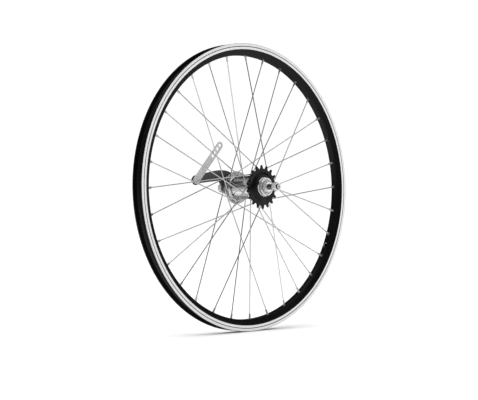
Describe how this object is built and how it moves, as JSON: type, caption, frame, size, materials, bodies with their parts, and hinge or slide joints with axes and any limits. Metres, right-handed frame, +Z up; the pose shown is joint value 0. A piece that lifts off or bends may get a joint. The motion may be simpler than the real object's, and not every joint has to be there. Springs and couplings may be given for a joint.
{
  "type": "bicycle rear wheel",
  "caption": "Rear bicycle wheel with a black rim, bright laced spokes and a chromed back-pedal brake hub with sprocket, brake arm and strap.",
  "frame": {"origin": "the wheel's centre, on the axle and in the rim's middle plane", "axes": "+Y along the axle towards the brake arm, +Z up, +X to the right as seen from the sprocket side"},
  "size_m": [0.5199, 0.1519, 0.52],
  "materials": {
    "rim_alloy": "black anodised, with bare machined brake tracks",
    "spoke_steel": "bright drawn stainless wire",
    "nipple_brass": "nickel plated",
    "hub_chrome": "polished chrome plate",
    "sprocket_black": "black oxide on steel",
    "ring_chrome": "bright spring steel",
    "driver_steel": "turned steel",
    "axle_steel": "dark oiled thread",
    "nut_steel": "zinc plated",
    "arm_paint": "dark grey coating on pressed steel",
    "clip_zinc": "dull zinc plate",
    "bearing_steel": "hardened bearing steel",
    "brake_steel": "greased hardened steel"
  },
  "bodies": {
    "axle": {"axle": "axle_steel", "brake_cone": "driver_steel", "drive_cone": "driver_steel", "drive_locknut": "nut_steel", "arm_locknut": "nut_steel", "brake_arm": "arm_paint", "clip_bolt": "nut_steel", "clip_nut": "nut_steel", "brake_dust_cap": "hub_chrome"},
    "wheel": {"rim": "rim_alloy", "hub_shell": "hub_chrome", "nipples": "nipple_brass", "spoke_01": "spoke_steel", "spoke_02": "spoke_steel", "spoke_03": "spoke_steel", "spoke_04": "spoke_steel", "spoke_05": "spoke_steel", "spoke_06": "spoke_steel", "spoke_07": "spoke_steel", "spoke_08": "spoke_steel", "spoke_09": "spoke_steel", "spoke_10": "spoke_steel", "spoke_11": "spoke_steel", "spoke_12": "spoke_steel", "spoke_13": "spoke_steel", "spoke_14": "spoke_steel", "spoke_15": "spoke_steel", "spoke_16": "spoke_steel", "spoke_17": "spoke_steel", "spoke_18": "spoke_steel", "spoke_19": "spoke_steel", "spoke_20": "spoke_steel", "spoke_21": "spoke_steel", "spoke_22": "spoke_steel", "spoke_23": "spoke_steel", "spoke_24": "spoke_steel", "spoke_25": "spoke_steel", "spoke_26": "spoke_steel", "spoke_27": "spoke_steel", "spoke_28": "spoke_steel", "spoke_29": "spoke_steel", "spoke_30": "spoke_steel", "spoke_31": "spoke_steel", "spoke_32": "spoke_steel"},
    "driver": {"driver": "driver_steel", "sprocket": "sprocket_black", "snap_ring": "ring_chrome", "shell_dust_cap": "hub_chrome", "driver_dust_cap": "hub_chrome"},
    "brake_retainer": {"brake_ball_retainer": "bearing_steel"},
    "shell_retainer": {"shell_ball_retainer": "bearing_steel"},
    "driver_retainer": {"driver_ball_retainer": "bearing_steel"},
    "clutch": {"clutch_cone": "brake_steel", "clutch_spring": "brake_steel"},
    "upper_shoe": {"upper_brake_shoe": "brake_steel"},
    "lower_shoe": {"lower_brake_shoe": "brake_steel"},
    "clip": {"arm_clip": "clip_zinc"},
    "drive_nut": {"drive_axle_nut": "nut_steel"},
    "brake_nut": {"brake_axle_nut": "nut_steel"}
  },
  "joints": [
    {"name": "wheel_spin", "type": "hinge", "parent": "axle", "child": "wheel", "pos_m": [0, 0, 0], "axis": [0, 1, 0], "continuous": true},
    {"name": "driver_spin", "type": "hinge", "parent": "axle", "child": "driver", "pos_m": [0, 0, 0], "axis": [0, 1, 0], "continuous": true},
    {"name": "brake_retainer_spin", "type": "hinge", "parent": "axle", "child": "brake_retainer", "pos_m": [0, 0, 0], "axis": [0, 1, 0], "continuous": true},
    {"name": "shell_retainer_spin", "type": "hinge", "parent": "axle", "child": "shell_retainer", "pos_m": [0, 0, 0], "axis": [0, 1, 0], "continuous": true},
    {"name": "driver_retainer_spin", "type": "hinge", "parent": "axle", "child": "driver_retainer", "pos_m": [0, 0, 0], "axis": [0, 1, 0], "continuous": true},
    {"name": "clutch_slide", "type": "slide", "parent": "driver", "child": "clutch", "axis": [0, 1, 0], "range_m": [0, 0.002]},
    {"name": "upper_shoe_slide", "type": "slide", "parent": "axle", "child": "upper_shoe", "axis": [0, 0.9615, 0.2747], "range_m": [0, 0.00106]},
    {"name": "lower_shoe_slide", "type": "slide", "parent": "axle", "child": "lower_shoe", "axis": [0, 0.9615, -0.2747], "range_m": [0, 0.00106]},
    {"name": "clip_pivot", "type": "hinge", "parent": "axle", "child": "clip", "pos_m": [-0.0875, 0.0413, 0.0121], "axis": [0, 1, 0], "range_deg": [-100, 30]},
    {"name": "drive_nut_travel", "type": "slide", "parent": "axle", "child": "drive_nut", "axis": [0, -1, 0], "range_m": [-0.007, 0.009]},
    {"name": "brake_nut_travel", "type": "slide", "parent": "axle", "child": "brake_nut", "axis": [0, 1, 0], "range_m": [-0.007, 0.009]}
  ],
  "couplings": [
    {"joint": "brake_retainer_spin", "follows": "wheel_spin", "ratio": 0.5676},
    {"joint": "shell_retainer_spin", "follows": "wheel_spin", "ratio": 0.5489},
    {"joint": "driver_retainer_spin", "follows": "driver_spin", "ratio": 0.5825},
    {"joint": "upper_shoe_slide", "follows": "clutch_slide", "ratio": 0.52},
    {"joint": "lower_shoe_slide", "follows": "clutch_slide", "ratio": 0.52}
  ]
}
